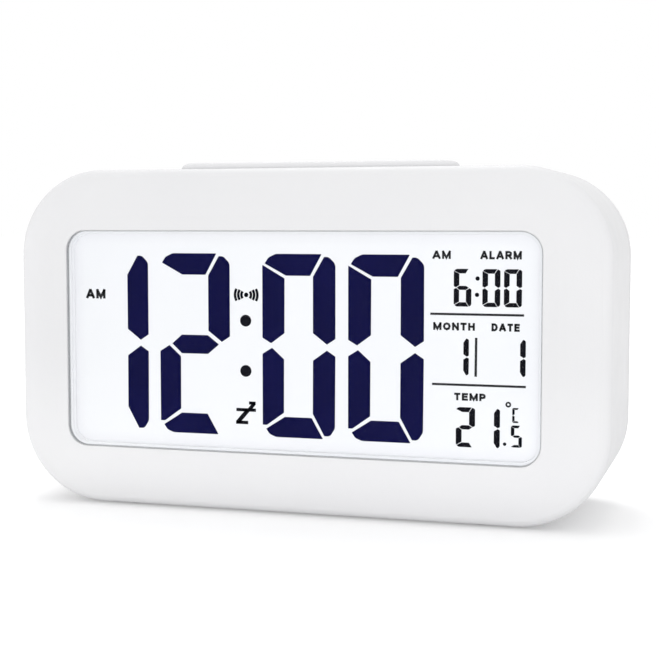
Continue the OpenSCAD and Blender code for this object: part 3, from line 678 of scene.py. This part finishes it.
RECESS_Y = CAD_HI.y - 1.2 * MM  # floor of the key recess
SUNK = 0.02                     # how far a raised mark starts below its floor, mm
MARK_RISE = 5.1                 # from a key's middle up to its mark, mm
MARK_T = 0.16                   # thickness of a mark, mm
LINE = 0.24                     # width of a mark's thin lines, mm


def in_recess(x, z, out):
    """A point on the floor of the key recess, in mm."""
    return (x * MM, RECESS_Y + (out - SUNK) * MM, z * MM)


def centre_mm(node):
    lo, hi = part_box(node)
    return (lo.x + hi.x) / 2 / MM, (lo.z + hi.z) / 2 / MM


def above(node):
    """Middle of the mark above a key or the slider."""
    x, z = centre_mm(node)
    return x, z + MARK_RISE


def mark(name, outlines, depth=MARK_T):
    """A raised mark in the key recess."""
    return slab(name, outlines, in_recess, depth, KEY)


def clock_sign(x, z):
    return ring(x, z, 1.0, 0.26) + [stroke([(x, z + 0.7), (x, z - 0.08)], LINE),
                                    stroke([(x + 0.08, z), (x - 0.55, z)], LINE)]


def cog_sign(x, z):
    teeth = [stroke([(x + 0.72 * math.cos(a), z + 0.72 * math.sin(a)),
                     (x + 1.2 * math.cos(a), z + 1.2 * math.sin(a))], 0.36)
             for a in (math.radians(45 * k) for k in range(8))]
    return ring(x, z, 0.66, 0.36) + teeth


def arrow_sign(x, z, way):
    """A triangle that points up for way 1 and down for way -1."""
    return [rounded([(x - 1.3, z - 0.75 * way), (x + 1.3, z - 0.75 * way), (x, z + 1.05 * way)], 0.15)]


def bell_sign(x, z):
    dome = [(x - 1.25, z - 0.7), (x - 0.85, z - 0.35), (x - 0.75, z + 0.3), (x - 0.5, z + 0.75),
            (x, z + 0.95), (x + 0.5, z + 0.75), (x + 0.75, z + 0.3), (x + 0.85, z - 0.35),
            (x + 1.25, z - 0.7)]
    return [dome, disc(x, z - 1.0, 0.28, 16)]


mark("mode_mark", clock_sign(*above("mode_key")))
mark("set_mark", cog_sign(*above("set_key")))
mark("up_mark", arrow_sign(*above("up_key"), 1))
mark("down_mark", arrow_sign(*above("down_key"), -1))
slide_x, slide_z = above("alarm_slide")
mark("alarm_on_mark", bell_sign(slide_x + 3.6, slide_z))
crossing = stroke([(slide_x - 2.5, slide_z - 1.15), (slide_x + 0.3, slide_z + 1.15)], LINE)
mark("alarm_off_mark", bell_sign(slide_x - 1.1, slide_z) + [crossing], MARK_T + 0.01)

# ---------------------------------------------------------------- marks in the battery bay

BAY_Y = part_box("battery_1")[0].y - 0.3 * MM  # floor of the bay
SIGN_OUT, SIGN_UP = 18.5, 5.55               # from a cell's middle to its signs, mm
SIGN_HALF, SIGN_LINE, SIGN_T = 0.9, 0.35, 0.2


def in_bay(x, z, out):
    """A point on the floor of the battery bay, in mm."""
    return (x * MM, BAY_Y + (out - SUNK) * MM, z * MM)


signs = []
for name, plus in CELLS:
    cell_x, cell_z = centre_mm(name)
    for side in (-1, 1):
        x, z = cell_x + side * SIGN_OUT, cell_z + SIGN_UP
        signs.append(stroke([(x - SIGN_HALF, z), (x + SIGN_HALF, z)], SIGN_LINE))
        if side == plus:
            signs.append(stroke([(x, z - SIGN_HALF), (x, z + SIGN_HALF)], SIGN_LINE))
slab("polarity_signs", signs, in_bay, SIGN_T, WHITE)

# ---------------------------------------------------------------- battery springs

SPRING_LO, SPRING_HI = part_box("battery_springs")
COIL_BASE, COIL_TIP = 3.4 * MM, 2.4 * MM  # radii at the bay wall and at the cell
COIL_WIRE = 0.6 * MM
COIL_TURNS = 5
FLAT_TURN = 0.12                          # share of the coil that lies flat at each end


def coil(name, x, y, z, side, length):
    """A conical coil spring of round wire along X, starting at x and running to -side."""
    curve = bpy.data.curves.new(name, "CURVE")
    curve.dimensions = "3D"
    curve.bevel_depth = COIL_WIRE / 2
    curve.bevel_resolution = 3
    spline = curve.splines.new("POLY")
    steps = COIL_TURNS * 24
    spline.points.add(steps)
    for k in range(steps + 1):
        t = k / steps
        rise = min(1.0, max(0.0, (t - FLAT_TURN) / (1 - 2 * FLAT_TURN)))
        lift = COIL_WIRE / 2 + (length - COIL_WIRE) * rise
        r = COIL_BASE + (COIL_TIP - COIL_BASE) * t
        a = 2 * math.pi * COIL_TURNS * t
        spline.points[k].co = (x - side * lift, y + r * math.cos(a), z + r * math.sin(a), 1.0)
    curve.materials.append(NICKEL)
    tmp = bpy.data.objects.new(name, curve)
    bpy.context.collection.objects.link(tmp)
    bpy.context.view_layer.update()
    mesh = bpy.data.meshes.new_from_object(tmp.evaluated_get(bpy.context.evaluated_depsgraph_get()))
    bpy.data.objects.remove(tmp)
    for p in mesh.polygons:
        p.use_smooth = True
    obj = bpy.data.objects.new(name, mesh)
    bpy.context.collection.objects.link(obj)
    return obj


for name, plus in CELLS:
    lo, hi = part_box(name)
    wall, end = (SPRING_LO.x, lo.x) if plus > 0 else (SPRING_HI.x, hi.x)
    spring = coil("coil_" + name, wall, (lo.y + hi.y) / 2, (lo.z + hi.z) / 2, -plus, abs(end - wall))
    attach(spring, "clock")
    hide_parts("battery_springs")

# ---------------------------------------------------------------- stage

FLOOR_HALF = 6.0
# name, place, aim, width, height in metres, power in watts, spread in degrees
LAMPS = (
    ("overhead_soft", (0.0, 0.06, 0.8), (0.0, 0.0, 0.0), 0.5, 0.5, 1.35, 180.0),
    ("left_soft", (-0.8, -0.1, 0.12), (0.0, 0.0, 0.03), 0.4, 0.2, 0.9, 180.0),
    ("right_soft", (0.8, -0.05, 0.12), (0.0, 0.0, 0.03), 0.4, 0.2, 0.6, 180.0),
    ("back_soft", (-0.2, 0.62, 0.75), (0.0, 0.02, 0.03), 0.4, 0.3, 2.2, 180.0),
    ("low_strip", (0.0, -0.42, 0.004), (0.0, CAD_LO.y, 0.004), 0.5, 0.016, 0.01, 9.0),
    ("front_soft", (0.19, -0.85, 0.06), (0.0, -0.02, 0.01), 0.44, 0.12, 2.2, 180.0),
)


def lay_floor():
    """Pale floor that turns to the white of the background with distance."""
    h = FLOOR_HALF
    mesh = bpy.data.meshes.new("floor")
    mesh.from_pydata([(-h, -h, 0), (h, -h, 0), (h, h, 0), (-h, h, 0)], [], [(0, 1, 2, 3)])
    floor = bpy.data.objects.new("floor", mesh)
    bpy.context.collection.objects.link(floor)
    s = Shader("floor_white")
    s.set(Base_Color=s.mix(s.noise(3.0), (0.73, 0.73, 0.732), (0.74, 0.74, 0.742)), Roughness=0.9)
    away = s.node("ShaderNodeVectorMath", operation="LENGTH")
    s.link(s.coord, away.inputs[0])
    s.set(Specular_IOR_Level=0.0, Emission_Color=(1.0, 1.0, 1.0, 1.0),
          Emission_Strength=s.span(away.outputs["Value"], 0.12, 0.8, 0.2, 0.45))
    mesh.materials.append(s.mat)


def light_world():
    world = bpy.data.worlds.new("studio")
    bpy.context.scene.world = world
    world.use_nodes = True
    back = world.node_tree.nodes["Background"]
    back.inputs[0].default_value = (1.0, 1.0, 1.0, 1.0)
    back.inputs[1].default_value = 1.0


def hang_lamp(name, place, aim, width, height, power, spread):
    light = bpy.data.lights.new(name, "AREA")
    light.shape = "RECTANGLE"
    light.size = width
    light.size_y = height
    light.energy = power
    light.spread = math.radians(spread)
    obj = bpy.data.objects.new(name, light)
    obj.location = place
    obj.rotation_euler = (Vector(aim) - Vector(place)).to_track_quat("-Z", "Y").to_euler()
    bpy.context.collection.objects.link(obj)


lay_floor()
light_world()
for lamp in LAMPS:
    hang_lamp(*lamp)

# ---------------------------------------------------------------- camera

# it stands to the right of the display and looks a little down on it
YAW, PITCH = math.radians(17.206), math.radians(4.264)
TARGET = Vector((8.36 * MM, CAD_LO.y, 41.28 * MM))  # the point of the display face it looks at
DISTANCE = 0.29755                                  # from there, in metres
SENSOR_MM = 36.0
FOCAL_MM = 76.72534

scene = bpy.context.scene
scene.view_settings.view_transform = "Standard"
scene.view_settings.look = "None"

look = Vector((-math.sin(YAW) * math.cos(PITCH), math.cos(YAW) * math.cos(PITCH), -math.sin(PITCH)))
cam = bpy.data.cameras.new("camera")
cam.sensor_width = SENSOR_MM
cam.lens = FOCAL_MM
cam.clip_start = 0.01
cam.clip_end = 50.0
cam_obj = bpy.data.objects.new("camera", cam)
cam_obj.location = TARGET - look * DISTANCE
cam_obj.rotation_mode = "QUATERNION"
cam_obj.rotation_quaternion = look.to_track_quat("-Z", "Y")
scene.collection.objects.link(cam_obj)
scene.camera = cam_obj
